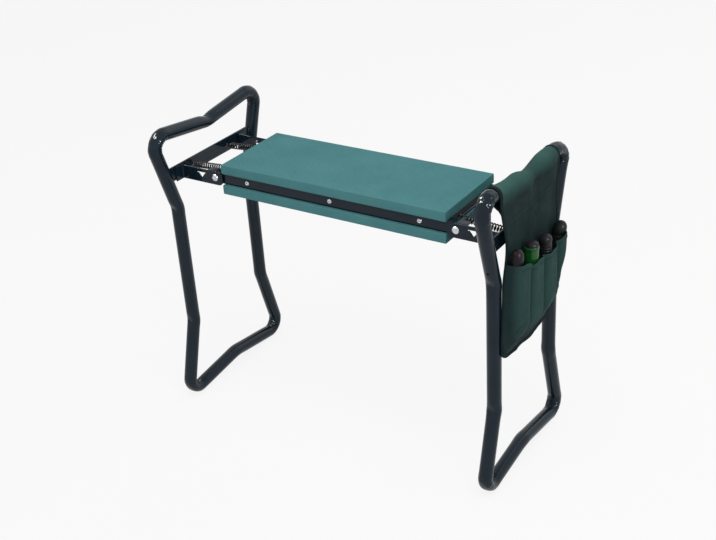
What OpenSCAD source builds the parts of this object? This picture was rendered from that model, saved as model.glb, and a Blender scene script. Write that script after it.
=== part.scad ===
// Folding garden kneeler and bench: a foam-padded board between two steel rails,
// carried by two bent-tube leg loops that fold inwards on riveted hinge arms.
// Springs pull each loop over its dead centre, so that it stays open or folded.
// Millimetres. The origin is on the floor under the middle of the seat.
// +X runs along the seat towards the tool pouch, +Y to the rear, +Z up.

/* [Seat] */
// Height of the seat's top face above the floor
seat_h = 424; // [412:1:432]
// Length of the foam pads
pad_l = 392; // [350:1:430]
// Width of the foam pads
pad_w = 147; // [130:1:165]
// Thickness of each foam pad
pad_t = 15.5; // [11:0.5:18]
// Corner radius of the foam pads
pad_r = 3; // [1:0.5:6]
// How far the board stops short of each end of the pads
board_inset = 6; // [4:0.5:12]

/* [Rails] */
// Height of the steel rails between the pads
rail_h = 19; // [17:0.5:24]
// Wall of the rails
rail_t = 1.8; // [1.2:0.1:2.5]
// Depth of the rails' flanges
rail_flange = 12; // [9:0.5:15]
// How far the pads overhang the rails
rail_set = 5; // [2:0.5:7]
// Length of rail beyond each hinge line
rail_tail = 16; // [14:0.5:18]
// Distance between neighbouring rail rivets
rivet_pitch = 151.5; // [120:0.5:165]
// Diameter of the rail rivets' heads
rivet_head = 7.8; // [6:0.1:10]
// Diameter of the rail rivets' shanks
rivet_d = 4; // [3:0.1:5]

/* [Hinges] */
// Distance from the pads' ends to the hinge line
hinge_out = 15; // [14:0.5:20]
// Length of the hinge arms, from the hinge line to the leg loop
arm_len = 68; // [60:1:76]
// Thickness of the hinge arms
arm_t = 2.2; // [1.6:0.1:3]
// Height of the arms above the hinge line
arm_up = 10; // [8:0.5:12]
// Length of the arms inboard of the hinge line
arm_nose = 14; // [11:0.5:14]
// Width of the arms' window
window_w = 18; // [12:0.5:22]
// Height of the arms' window
window_h = 9.5; // [6:0.5:12]
// Distance from the hinge line to the middle of the window
window_out = 27; // [24:0.5:32]
// Width of the flange under each arm, which stops the loop at both ends of its swing
stop_w = 8; // [6:0.5:10]
// Length of the arms' welded feet
foot_l = 14; // [8:0.5:16]
// Diameter of the pivot rivets
pivot_d = 6; // [5:0.1:8]
// Diameter of the pivot rivets' heads
pivot_head = 11.6; // [10:0.1:14]
// Thickness of the spacing washers
washer_t = 1.5; // [1:0.1:2]
// Diameter of the spacing washers
washer_d = 15; // [12:0.5:18]

/* [Crossbars] */
// Thickness of the crossbars
bar_t = 3; // [2:0.1:4]
// Height of the crossbars above the hinge line
bar_up = 13; // [10:0.5:15]
// Depth of the crossbars below the hinge line
bar_down = 10; // [8:0.5:12]

/* [Leg loops] */
// Diameter of the steel tube
tube_d = 21; // [18:0.5:23]
// Spread of the foot corners
foot_w = 258; // [240:1:280]
// Spread of the legs between their two bends
leg_w = 185; // [170:1:200]
// How much wider the handle is than the foot bar, between their corners
hand_more = 8; // [0:0.5:14]
// Height of the lower leg bends
flare_h = 136; // [110:1:160]
// Drop from the hinge line to the upper leg bends
waist_drop = 55.5; // [45:0.5:75]
// Rise from the hinge line to the handle corners, where their centre lines meet
hand_rise = 75.5; // [70:0.5:90]
// Dip in the middle of the handle
handle_dip = 17.5; // [10:0.5:24]
// Rise in the middle of the foot bar
foot_arch = 16.5; // [8:0.5:24]
// Bend radius of the foot corners
foot_r = 21; // [14:1:30]
// Bend radius of the handle corners
hand_r = 21; // [14:1:30]
// Bend radius of the leg bends
leg_r = 45; // [30:1:60]
// Bend radius in the middle of the handle
dip_r = 60; // [40:1:90]
// Bend radius in the middle of the foot bar
arch_r = 80; // [50:1:120]

/* [Springs] */
// Outer diameter of the springs
spring_d = 11; // [9:0.5:12]
// Wire of the springs
wire_d = 2.1; // [1.4:0.1:2.2]
// Turns of each spring
turns = 12; // [9:1:13]
// Distance between the two springs of a hinge
spring_gap = 86; // [70:1:96]
// Diameter of the rods that the springs pull on
rod_d = 5; // [4:0.5:6]
// Distance of a rod inboard of the hinge line
rod_in = 8; // [7.5:0.5:8.5]
// Height of a rod above the hinge line
rod_up = 5; // [4:0.5:5.5]

/* [Tool pouch] */
// Width of the pouch
pouch_w = 186; // [170:1:190]
// How far the pouch hangs off the middle of the handle, towards the front
pouch_set = 5; // [0:0.5:8]
// Height of the pouch's bottom hem above the floor
pouch_low = 219; // [200:1:235]
// Height of the pockets' mouth
mouth_h = 346; // [335:1:355]
// Extra height of the front pocket
mouth_rise = 24; // [15:1:28]
// Depth of the filled pockets
pocket_d = 23; // [22:0.5:30]
// Thickness of the cloth
cloth_t = 1.4; // [1:0.1:1.8]
// Height of the hook-and-loop strip on the flap
strip_h = 14; // [10:0.5:18]
// How far the hook-and-loop strip stops short of the flap's sides
strip_set = 8; // [4:0.5:14]

/* [Hand tools] */
// Diameter of the tools' grips
grip_d = 20; // [17:0.5:21]
// Length of the tools' grips
grip_l = 62; // [54:1:72]
// Height of the blades' ends above the pouch's hem
blade_up = 40; // [38:1:60]
// How far the grips stand out of the pockets
grip_up = 21; // [15:1:30]

/* [Hidden] */
$fn = 48;

// Gap at a weld, where a flat bar meets a round tube
weld_gap = 0.1;
// Running gap between a washer and the rail
run_gap = 0.2;
// Gap at the stop when a loop stands open
stop_gap = 0.3;
// Radial gap of the pivot rivets
pivot_gap = 0.05;
// Gap between the cloth and what it lies on
cloth_gap = 0.6;
// Inner radius of folded sheet steel
fold_r = 2;
// How much fatter the tube is where it is bent
bend_swell = 0.2;
// How far a straight run reaches into the bends at its ends
run_lap = 1;

hinge_x = pad_l / 2 + hinge_out;
hinge_z = seat_h - pad_t - rail_h / 2;
rail_y = pad_w / 2 - rail_set;
arm_in = rail_y + run_gap + washer_t;
arm_out = arm_in + arm_t;
arm_down = rail_h / 2 + stop_gap + arm_t;
stop_x = rail_h / 2 + stop_gap + 0.2;
bar_face = arm_len - bar_t / 2;
loop_x = hinge_x + arm_len;
tube_r = tube_d / 2;
hand_w = foot_w + hand_more;
waist_h = hinge_z - waist_drop;
hand_h = hinge_z + hand_rise;

// The loop's centre line: corners and bend radii, in the plane of the loop

function unit(v) = v / norm(v);
function turned(v) = [-v[1], v[0]];

// How far the lowest point of a foot corner's bend lies above the corner of the centre lines
function foot_sag(z) = let(
    a = unit([foot_w / 2, foot_arch]),
    b = unit([(foot_w - leg_w) / 2, flare_h - z]),
    half = acos(a * b) / 2)
    foot_r / sin(half) * unit(a + b)[1] - foot_r;

foot_first = tube_r - foot_sag(tube_r);
foot_z = tube_r + bend_swell / 2 - foot_sag(foot_first);

front_line = [[0, foot_z + foot_arch], [-foot_w / 2, foot_z], [-leg_w / 2, flare_h],
    [-leg_w / 2, waist_h], [-hand_w / 2, hand_h], [0, hand_h - handle_dip]];
rear_line = [for (i = [4 : -1 : 1]) [-front_line[i][0], front_line[i][1]]];
loop_line = concat(front_line, rear_line);
loop_bends = [arch_r, foot_r, leg_r, leg_r, hand_r, dip_r, hand_r, leg_r, leg_r, foot_r];
corners = len(loop_line);

function corner(i) = loop_line[(i + corners) % corners];
function heading(i) = unit(corner(i + 1) - corner(i));
function bend_turn(i) = let(a = heading(i - 1), b = heading(i))
    atan2(a[0] * b[1] - a[1] * b[0], a * b);
function tangent_run(i) = loop_bends[i % corners] * tan(abs(bend_turn(i)) / 2);

// Height of the handle's centre line at a distance y from its middle
handle_tilt = atan(handle_dip / (hand_w / 2));
function handle_z(y) = abs(y) < dip_r * sin(handle_tilt)
    ? hand_h - handle_dip + dip_r / cos(handle_tilt) - sqrt(dip_r * dip_r - y * y)
    : hand_h - handle_dip + abs(y) * tan(handle_tilt);

// Distance of the upper leg's centre line from the middle, at a height z
upper_run = hand_h - waist_h;
upper_step = (hand_w - leg_w) / 2;
function upper_y(z) = leg_w / 2 + (z - waist_h) * upper_step / upper_run;

module tube_bend(i) {
    turn = bend_turn(i);
    radius = loop_bends[i];
    side = turn > 0 ? 1 : -1;
    start = corner(i) - heading(i - 1) * tangent_run(i);
    finish = corner(i) + heading(i) * tangent_run(i);
    middle = start + side * radius * turned(heading(i - 1));
    from = (turn > 0 ? start : finish) - middle;
    translate([middle[0], middle[1], 0])
        rotate([0, 0, atan2(from[1], from[0])])
            rotate_extrude(angle = abs(turn), $fn = 96)
                translate([radius, 0])
                    circle(d = tube_d + bend_swell);
}

module tube_run(i) {
    way = heading(i);
    start = corner(i) + way * (tangent_run(i) - run_lap);
    finish = corner(i + 1) - way * (tangent_run(i + 1) - run_lap);
    translate([start[0], start[1], 0])
        rotate([0, 0, atan2(way[1], way[0])])
            rotate([0, 90, 0])
                cylinder(d = tube_d, h = norm(finish - start));
}

module leg_loop() {
    rotate([90, 0, 90])
        union() {
            for (i = [0 : corners - 1]) {
                tube_bend(i);
                tube_run(i);
            }
        }
}

// Places a shape modelled about the right hinge line at either end of the seat
module at_hinge(side) {
    translate([side * hinge_x, 0, hinge_z])
        mirror([side < 0 ? 1 : 0, 0, 0])
            children();
}

// Front is towards -Y
module on_side(front) {
    mirror([0, front ? 1 : 0, 0]) children();
}

module domed_head(d, h) {
    ball = (d * d / 4 + h * h) / (2 * h);
    intersection() {
        translate([0, 0, h - ball]) sphere(ball, $fn = 64);
        cylinder(d = d, h = h + 1);
    }
}

// Seat

module pad() {
    linear_extrude(pad_t) {
        square([pad_l - 2 * pad_r, pad_w], center = true);
        square([pad_l, pad_w - 2 * pad_r], center = true);
        for (x = [-1, 1], y = [-1, 1])
            translate([x * (pad_l / 2 - pad_r), y * (pad_w / 2 - pad_r)])
                circle(pad_r);
    }
}

module top_pad() {
    color("#5a958f") translate([0, 0, seat_h - pad_t]) pad();
}

module bottom_pad() {
    color("#5a958f") translate([0, 0, seat_h - 2 * pad_t - rail_h]) pad();
}

// The board fills the rails and is rebated for their flanges
module seat_board() {
    board_l = pad_l - 2 * board_inset;
    core_w = 2 * (rail_y - rail_flange) - 0.4;
    edge_w = 2 * (rail_y - rail_t);
    edge_h = rail_h - 2 * rail_t;
    color("#24272a")
        translate([0, 0, hinge_z])
            difference() {
                union() {
                    cube([board_l, core_w, rail_h], center = true);
                    cube([board_l, edge_w, edge_h], center = true);
                }
                for (i = [-1 : 1], side = [-1, 1])
                    translate([i * rivet_pitch, side * (rail_y - rail_t - 10.5), 0])
                        rotate([-90 * side, 0, 0])
                            cylinder(d = rivet_d, h = 11);
            }
}

// A channel with its open side towards the board
module rail(front) {
    inside = rail_h - 2 * rail_t;
    half_l = hinge_x + rail_tail;
    color("#23282d")
        translate([0, 0, hinge_z])
            on_side(front)
                difference() {
                    translate([-half_l, rail_y, -rail_h / 2])
                        rotate([90, 0, 90])
                            linear_extrude(2 * half_l)
                                translate([-rail_flange, 0])
                                    difference() {
                                        union() {
                                            square([rail_flange - 1, rail_h]);
                                            translate([0, 1]) square([rail_flange, rail_h - 2]);
                                            for (z = [1, rail_h - 1])
                                                translate([rail_flange - 1, z]) circle(1);
                                        }
                                        translate([-1, rail_t])
                                            square([rail_flange - rail_t + 1, inside]);
                                    }
                    for (i = [-1 : 1])
                        translate([i * rivet_pitch, rail_y + 1, 0])
                            rotate([90, 0, 0])
                                cylinder(d = rivet_d, h = rail_t + 2);
                    for (side = [-1, 1])
                        translate([side * hinge_x, rail_y + 1, 0])
                            rotate([90, 0, 0])
                                cylinder(d = pivot_d + 2 * pivot_gap, h = rail_t + 2);
                }
}

module front_rail() {
    rail(true);
}

module rear_rail() {
    rail(false);
}

module rail_rivets() {
    color("#c8c8cc")
        translate([0, 0, hinge_z])
            for (i = [-1 : 1], front = [true, false])
                on_side(front)
                    translate([i * rivet_pitch, rail_y, 0])
                        rotate([-90, 0, 0]) {
                            domed_head(rivet_head, 2);
                            translate([0, 0, -10]) cylinder(d = rivet_d, h = 10);
                        }
}

// The rods are welded between the rails' webs
module spring_rod(side) {
    color("#1f2326")
        at_hinge(side)
            translate([-rod_in, 0, rod_up])
                rotate([90, 0, 0])
                    cylinder(d = rod_d, h = 2 * (rail_y - rail_t), center = true);
}

module left_spring_rod() {
    spring_rod(-1);
}

module right_spring_rod() {
    spring_rod(1);
}

// Leg loops and hinges

module left_loop() {
    color("#23282d") translate([-loop_x, 0, 0]) leg_loop();
}

module right_loop() {
    color("#23282d") translate([loop_x, 0, 0]) leg_loop();
}

// The bar's ends are coped to the tubes that they are welded to
module crossbar(side) {
    half = upper_y(hinge_z - bar_down);
    lean = atan(upper_step / upper_run);
    color("#23282d")
        at_hinge(side)
            difference() {
                translate([bar_face, -half, -bar_down])
                    cube([bar_t, 2 * half, bar_up + bar_down]);
                for (front = [true, false]) {
                    on_side(front)
                        translate([arm_len, leg_w / 2, waist_h - hinge_z])
                            rotate([-lean, 0, 0])
                                cylinder(d = tube_d + 2 * weld_gap, h = upper_run);
                    on_side(front)
                        translate([bar_face - 1, spring_gap / 2, 0])
                            rotate([0, 90, 0])
                                cylinder(d = wire_d + 2.7, h = bar_t + 2);
                }
            }
}

module left_crossbar() {
    crossbar(-1);
}

module right_crossbar() {
    crossbar(1);
}

// Side view of an arm: rounded at the pivot, with a window with rounded corners
module arm_outline() {
    nose = 8;
    length = bar_face - arm_t - fold_r;
    r = 1.2;
    difference() {
        union() {
            translate([nose - arm_nose, -arm_down]) square([length + arm_nose - nose, arm_up + arm_down]);
            translate([-arm_nose, nose - arm_down]) square([nose, arm_up + arm_down - 2 * nose]);
            for (z = [nose - arm_down, arm_up - nose])
                translate([nose - arm_nose, z]) circle(nose);
        }
        translate([window_out, 0]) {
            polygon([[r - window_w / 2, window_h / 2], [window_w / 2 - r, window_h / 2],
                [r, r - window_h / 2], [-r, r - window_h / 2]]);
            for (p = [[r - window_w / 2, window_h / 2 - r], [window_w / 2 - r, window_h / 2 - r],
                [0, r - window_h / 2]])
                translate(p) circle(r);
        }
        circle(d = pivot_d + 2 * pivot_gap);
    }
}

// An arm is folded from sheet: a foot lies on the crossbar, and a flange runs
// under the rail's tail, so it meets the rail when the loop is open or folded
module hinge_arm(side, front) {
    color("#23282d")
        at_hinge(side)
            on_side(front) {
                translate([0, arm_out, 0])
                    rotate([90, 0, 0])
                        linear_extrude(arm_t)
                            arm_outline();
                translate([stop_x, arm_in - stop_w, -arm_down])
                    cube([bar_face - 2 * arm_t - fold_r - stop_x, stop_w, arm_t]);
                translate([bar_face - arm_t - fold_r, arm_out + fold_r, -arm_down]) {
                    rotate([0, 0, -90])
                        rotate_extrude(angle = 90)
                            translate([fold_r, 0])
                                square([arm_t, arm_up + arm_down]);
                    translate([fold_r, 0, 0])
                        cube([arm_t, foot_l, arm_up + arm_down]);
                }
            }
}

module left_front_arm() {
    hinge_arm(-1, true);
}

module left_rear_arm() {
    hinge_arm(-1, false);
}

module right_front_arm() {
    hinge_arm(1, true);
}

module right_rear_arm() {
    hinge_arm(1, false);
}

// A pivot rivet has a domed head outside the arm and a flat one inside the rail
module pivot_rivets(side) {
    inner = rail_y - rail_t - 0.1;
    color("#c8c8cc")
        at_hinge(side)
            for (front = [true, false])
                on_side(front)
                    rotate([-90, 0, 0]) {
                        translate([0, 0, arm_out]) domed_head(pivot_head, 2.6);
                        translate([0, 0, inner]) cylinder(d = pivot_d, h = arm_out - inner);
                        translate([0, 0, inner - 1.6]) cylinder(d = pivot_d + 2.6, h = 1.6);
                    }
}

module left_pivot_rivets() {
    pivot_rivets(-1);
}

module right_pivot_rivets() {
    pivot_rivets(1);
}

module pivot_washers(side) {
    color("#b8b8bc")
        at_hinge(side)
            for (front = [true, false])
                on_side(front)
                    translate([0, arm_in, 0])
                        rotate([90, 0, 0])
                            difference() {
                                cylinder(d = washer_d, h = washer_t);
                                translate([0, 0, -1])
                                    cylinder(d = pivot_d + 2 * pivot_gap, h = washer_t + 2);
                            }
}

module left_pivot_washers() {
    pivot_washers(-1);
}

module right_pivot_washers() {
    pivot_washers(1);
}

// Springs: one wire runs from a hook round the rod, through the coil, to a
// straight end that passes through the crossbar and turns up behind it

coil_r = (spring_d - wire_d) / 2;
hook_r = (rod_d + wire_d) / 2 + 0.2;
pull = [arm_len + rod_in, -rod_up];
pull_l = norm(pull);
coil_from = hook_r + 3.5;
coil_to = pull_l - bar_t / 2 - 6;
rings = 8;
spring_line = concat(
    [for (a = [250 : -32 : 90]) [hook_r * cos(a), 0, hook_r * sin(a)]],
    [for (i = [1 : turns * rings - 1]) let(
        part = i / (turns * rings),
        grow = min(1, i / 4, (turns * rings - i) / 4),
        r = hook_r + (coil_r - hook_r) * grow,
        a = 90 + i * 360 / rings)
        [coil_from + (coil_to - coil_from) * part, r * cos(a), r * sin(a)]],
    [[coil_to + 2.2, 0, 1.8], [coil_to + 4.2, 0, 0], [pull_l + bar_t / 2 + 1, 0, 0],
        [pull_l + bar_t / 2 + 2.4, 0, 1], [pull_l + bar_t / 2 + 2.6, 0, 5]]);

// Least gap of the wire to itself, past the six rings next to each ring
spring_gaps = [for (i = [0 : len(spring_line) - 7], j = [i + 6 : len(spring_line) - 1])
    norm(spring_line[i] - spring_line[j])];
echo(least_gap_of_spring_wire = min(spring_gaps) - wire_d);

// Sweeps a wire of six sides along a line of points
function line_way(line, i) = unit(line[min(i + 1, len(line) - 1)] - line[max(i - 1, 0)]);
function ring_at(line, i, r) = let(
    way = line_way(line, i),
    side = unit(cross(way, abs(way[1]) < 0.9 ? [0, 1, 0] : [0, 0, 1])),
    up = cross(side, way))
    [for (k = [0 : 5]) line[i] + r * (cos(k * 60) * side + sin(k * 60) * up)];

module wire_along(line, r) {
    last = len(line) - 1;
    points = [for (i = [0 : last]) each ring_at(line, i, r)];
    sides = [for (i = [0 : last - 1], k = [0 : 5]) let(
        a = 6 * i + k, b = 6 * i + (k + 1) % 6)
        each [[a, b, a + 6], [b, b + 6, a + 6]]];
    starts = [for (k = [1 : 4]) [0, k + 1, k]];
    ends = [for (k = [1 : 4]) [6 * last, 6 * last + k, 6 * last + k + 1]];
    polyhedron(points, concat(sides, starts, ends), convexity = 10);
}

module spring(side, front) {
    color("#1c1e20")
        at_hinge(side)
            on_side(front)
                translate([-rod_in, spring_gap / 2, rod_up])
                    rotate([0, -atan2(pull[1], pull[0]), 0])
                        wire_along(spring_line, wire_d / 2);
}

module left_front_spring() {
    spring(-1, true);
}

module left_rear_spring() {
    spring(-1, false);
}

module right_front_spring() {
    spring(1, true);
}

module right_rear_spring() {
    spring(1, false);
}

// Tool pouch: cloth panels as closed sheets, a grid of points on each face

wrap_r = tube_r + cloth_gap + cloth_t / 2;
columns = 18;
flap_low = hinge_z + bar_up + 6;
flap_in = 7.4;

function pouch_y(j) = pouch_w * (j / columns - 0.5);
function smooth(t) = let(s = max(0, min(1, t))) s * s * (3 - 2 * s);

// The cloth's y is measured from its own middle. It hangs off the handle's middle, is drawn
// in a little under the handle, and spreads again towards the hem
function top_z(y) = handle_z(y - pouch_set);
function hung_y(y, z) = let(drop = top_z(y) - z)
    y * (1 - 0.06 * smooth(drop / 30) * exp(-pow((drop - 55) / 42, 2)) + 0.03 * smooth((drop - 140) / 90))
    - pouch_set;

// Soft folds run down the panel and fade in below the handle
function panel_fold(y, z) = let(down = smooth((top_z(y) - z) / 160))
    down * (1.1 + 0.9 * cos(y * 7) + 0.5 * sin(y * 8 + z));

// The rear bottom corner of the pouch is drawn up, and the front one is rounded
function hem_z(y) = let(at = y / (pouch_w / 2))
    pouch_low + 26 * pow(max(0, at - 0.35) / 0.65, 1.6) + 16 * pow(max(0, -at - 0.8) / 0.2, 2);

wrap_from = -75;
wrap_steps = 14;
drop_steps = 10;
function panel_row(i, y) = let(top = top_z(y))
    i == 0 ? [flap_in, flap_low]
    : i == 1 ? [flap_in, (flap_low + top - 22) / 2]
    : i == 2 ? [flap_in, top - 22]
    : i <= 3 + wrap_steps ? let(a = wrap_from - (i - 3) * (360 + wrap_from) / wrap_steps)
        [wrap_r * cos(a), top + wrap_r * sin(a)]
    : let(t = (i - 3 - wrap_steps) / drop_steps, z = top + (hem_z(y) - top) * t)
        [wrap_r + panel_fold(y, z), z];
panel_rows = 3 + wrap_steps + drop_steps;

// Distance along the cloth's cross direction: the normal of the panel's section at a row
function panel_normal(i, y) = let(
    a = panel_row(max(i - 1, 0), y), b = panel_row(min(i + 1, panel_rows), y))
    unit([-(b - a)[1], (b - a)[0]]);
function panel_point(i, j, off) = let(
    y = pouch_y(j), row = panel_row(i, y), p = row + off * panel_normal(i, y),
    below = i > 3 + wrap_steps ? row[1] : top_z(y))
    [loop_x + p[0], hung_y(y, below), p[1]];

// Closes a front grid and a back grid of points, row by row, into one sheet
module sheet(front, back) {
    r = len(front) - 1;
    c = len(front[0]) - 1;
    n = (r + 1) * (c + 1);
    points = concat([for (row = front) each row], [for (row = back) each row]);
    function at(i, j) = i * (c + 1) + j;
    faces = [for (i = [0 : r - 1], j = [0 : c - 1]) let(
        p = at(i, j), q = at(i, j + 1), s = at(i + 1, j), t = at(i + 1, j + 1))
        each [[p, q, s], [q, t, s], [n + p, n + s, n + q], [n + q, n + s, n + t]]];
    ends = [for (j = [0 : c - 1]) let(p = at(0, j), q = at(0, j + 1), s = at(r, j), t = at(r, j + 1))
        each [[p, n + p, q], [q, n + p, n + q], [s, t, n + s], [t, n + t, n + s]]];
    edges = [for (i = [0 : r - 1]) let(p = at(i, 0), q = at(i + 1, 0), s = at(i, c), t = at(i + 1, c))
        each [[p, q, n + p], [q, n + q, n + p], [s, n + s, t], [t, n + s, n + t]]];
    polyhedron(points, concat(faces, ends, edges), convexity = 8);
}

module pouch_panel() {
    color("#284c46")
        sheet([for (i = [0 : panel_rows]) [for (j = [0 : columns]) panel_point(i, j, cloth_t / 2)]],
            [for (i = [0 : panel_rows]) [for (j = [0 : columns]) panel_point(i, j, -cloth_t / 2)]]);
}

// Pockets: the sides stand off steeply, the front is broad, and three seams draw it in
pockets = 4;
pocket_w = pouch_w / pockets;
function pocket_mid(k) = pocket_w * (k + 0.5 - pockets / 2);
function mouth_z(y) = mouth_h + mouth_rise * smooth((-pocket_w - y + 12) / 24)
    + 4 * smooth((y - pocket_w) / 30);
pocket_columns = 28;
pocket_rows = 14;
function pocket_bulge(y, z) = let(
    at = y / (pouch_w / 2),
    up = z - hem_z(y),
    square = at > 0 ? 4 + 12 * smooth((up - 20) / 90) : 18,
    seam = pow(abs(cos(180 * y / pocket_w)), 6),
    steep = smooth(up / 58),
    slow = pow(max(0, min(1, up / 95)), 0.75),
    low = steep + (slow - steep) * smooth((at - 0.55) / 0.4),
    mid = abs(y) < pocket_w * (pockets / 2 - 0.5) ? 1 : 0)
    pocket_d * low * (1 - pow(abs(at), square)) * (1 - 0.2 * seam * mid);
function pocket_point(i, j, off) = let(
    y = pouch_w * (j / pocket_columns - 0.5),
    z = hem_z(y) + (mouth_z(y) - hem_z(y)) * i / pocket_rows)
    [loop_x + wrap_r + panel_fold(y, z) + cloth_t / 2 + cloth_gap + off + pocket_bulge(y, z),
        hung_y(y, z), z];

module pouch_pockets() {
    color("#2f5a52")
        sheet([for (i = [0 : pocket_rows])
                [for (j = [0 : pocket_columns]) pocket_point(i, j, 0)]],
            [for (i = [0 : pocket_rows])
                [for (j = [0 : pocket_columns]) pocket_point(i, j, cloth_t)]]);
}

// The hook-and-loop strip that closes the flap on the panel under the handle
module pouch_fastener() {
    inner = flap_in + cloth_t / 2 + cloth_gap;
    outer = wrap_r - cloth_t / 2 - cloth_gap;
    color("#16181a")
        translate([loop_x + inner, strip_set - pouch_w / 2 - pouch_set, flap_low + 1])
            cube([outer - inner, pouch_w - 2 * strip_set, strip_h]);
}

// Hand tools, which stand in the pockets with their grips up
tool_x = loop_x + wrap_r + cloth_t / 2 + 3 + grip_d / 2;
shank_l = 10;

function tool_y(k) = pocket_mid(k) - pouch_set;

module grip(k, top) {
    low = top - grip_l;
    translate([tool_x, tool_y(k), 0]) {
        translate([0, 0, low]) cylinder(d1 = grip_d * 0.62, d2 = grip_d, h = 14);
        translate([0, 0, low + 14]) cylinder(d = grip_d, h = grip_l - 14 - grip_d / 2);
        translate([0, 0, top - grip_d / 2]) sphere(d = grip_d);
    }
}

function tool_top(k) = mouth_z(pocket_mid(k)) + grip_up + [0, 4, 6, 1][k];

// Height of the bottom of a tool's grip, and the length of its blade
function tool_low(k) = tool_top(k) - grip_l;
function blade_l(k) = tool_low(k) - shank_l - pouch_low - blade_up;

module tool_end(k) {
    translate([tool_x, tool_y(k), tool_low(k) - shank_l]) {
        cylinder(d = 5, h = shank_l);
        rotate([90, 0, 90])
            linear_extrude(1.6, center = true)
                children();
    }
}

module trowel_grip() {
    color("#3a2f30") grip(0, tool_top(0));
}

module fork_grip() {
    color("#2f8a35") grip(1, tool_top(1));
}

module fork_cap() {
    cap_r = grip_d / 2 + 0.2;
    color("#1d1a20")
        translate([tool_x, tool_y(1), tool_top(1) - grip_d / 2])
            difference() {
                union() {
                    translate([0, 0, grip_d / 2]) cylinder(d = grip_d - 2, h = 8);
                    translate([0, 0, grip_d / 2 + 8]) cylinder(d1 = grip_d - 2, d2 = grip_d - 8, h = 4);
                }
                sphere(cap_r);
            }
}

module weeder_grip() {
    color("#201c24") grip(2, tool_top(2));
}

module dibber_grip() {
    color("#232a28") grip(3, tool_top(3));
}

module trowel_blade() {
    color("#9a9fa2")
        tool_end(0) {
            translate([-9, 9 - blade_l(0)]) square([18, blade_l(0) - 9]);
            translate([0, 9 - blade_l(0)]) circle(9);
        }
}

module fork_tines() {
    color("#9a9fa2")
        tool_end(1) {
            translate([-9, -7]) square([18, 7]);
            for (y = [-9, -1.5, 6])
                translate([y, -blade_l(1)]) square([3, blade_l(1)]);
        }
}

module weeder_blade() {
    color("#9a9fa2")
        tool_end(2) {
            translate([-5, 6 - blade_l(2)]) square([10, blade_l(2) - 6]);
            polygon([[-5, 6 - blade_l(2)], [5, 6 - blade_l(2)], [0, -blade_l(2)]]);
        }
}

module dibber_point() {
    color("#9a9fa2")
        translate([tool_x, tool_y(3), tool_low(3) - 20])
            cylinder(d1 = 3, d2 = 11, h = 20);
}

seat_board();
top_pad();
bottom_pad();
front_rail();
rear_rail();
rail_rivets();
left_spring_rod();
right_spring_rod();
left_loop();
left_crossbar();
left_front_arm();
left_rear_arm();
left_pivot_rivets();
left_pivot_washers();
left_front_spring();
left_rear_spring();
right_loop();
right_crossbar();
right_front_arm();
right_rear_arm();
right_pivot_rivets();
right_pivot_washers();
right_front_spring();
right_rear_spring();
pouch_panel();
pouch_pockets();
pouch_fastener();
trowel_grip();
fork_grip();
fork_cap();
weeder_grip();
dibber_grip();
trowel_blade();
fork_tines();
weeder_blade();
dibber_point();
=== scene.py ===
# Dresses the folding garden kneeler: foam, powder-coated steel, springs, cloth pouch and hand tools.
# Sizes are in millimetres in each section, and make_piece turns them to metres. +Z is up.
import math
import bpy
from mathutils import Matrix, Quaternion, Vector, noise


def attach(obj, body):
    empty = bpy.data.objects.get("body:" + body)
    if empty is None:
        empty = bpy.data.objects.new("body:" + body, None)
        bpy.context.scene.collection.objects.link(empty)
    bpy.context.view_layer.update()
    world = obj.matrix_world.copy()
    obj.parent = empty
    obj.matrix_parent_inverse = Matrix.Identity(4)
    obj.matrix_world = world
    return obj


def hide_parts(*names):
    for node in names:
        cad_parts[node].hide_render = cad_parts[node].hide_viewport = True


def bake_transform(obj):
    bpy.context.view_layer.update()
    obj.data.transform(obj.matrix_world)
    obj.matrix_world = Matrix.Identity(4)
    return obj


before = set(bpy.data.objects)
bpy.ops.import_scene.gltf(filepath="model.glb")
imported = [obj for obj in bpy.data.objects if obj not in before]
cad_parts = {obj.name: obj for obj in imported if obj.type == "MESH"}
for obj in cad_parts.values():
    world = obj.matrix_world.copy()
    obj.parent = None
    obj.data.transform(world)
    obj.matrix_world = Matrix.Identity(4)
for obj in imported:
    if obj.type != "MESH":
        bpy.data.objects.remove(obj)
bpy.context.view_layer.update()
scene = bpy.context.scene

# Camera. It stands where the photograph was taken from: in front of the end with the
# pouch, a little under a third of the way up to overhead, with a slight lean.
lens_mm = 58.664
look_at = Vector((-0.00428, 0.0, 0.25098))
stand_off = 1.82757
turn, rise, lean = math.radians(34.285), math.radians(28.053), math.radians(-3.754)
back = Vector((math.sin(turn) * math.cos(rise), -math.cos(turn) * math.cos(rise), math.sin(rise)))
camera = bpy.data.objects.new("camera", bpy.data.cameras.new("camera"))
camera.data.lens = lens_mm
camera.data.sensor_width = 36
camera.location = look_at + stand_off * back
camera.rotation_mode = "QUATERNION"
camera.rotation_quaternion = back.to_track_quat("Z", "Y") @ Quaternion((0, 0, 1), lean)
scene.collection.objects.link(camera)
scene.camera = camera
scene.view_settings.view_transform = "Standard"

# Seat board. A moulded black board lies between the two rails and carries both pads.
# It shows only at its ends, as a dull black edge with the fine grain of the mould.


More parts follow.
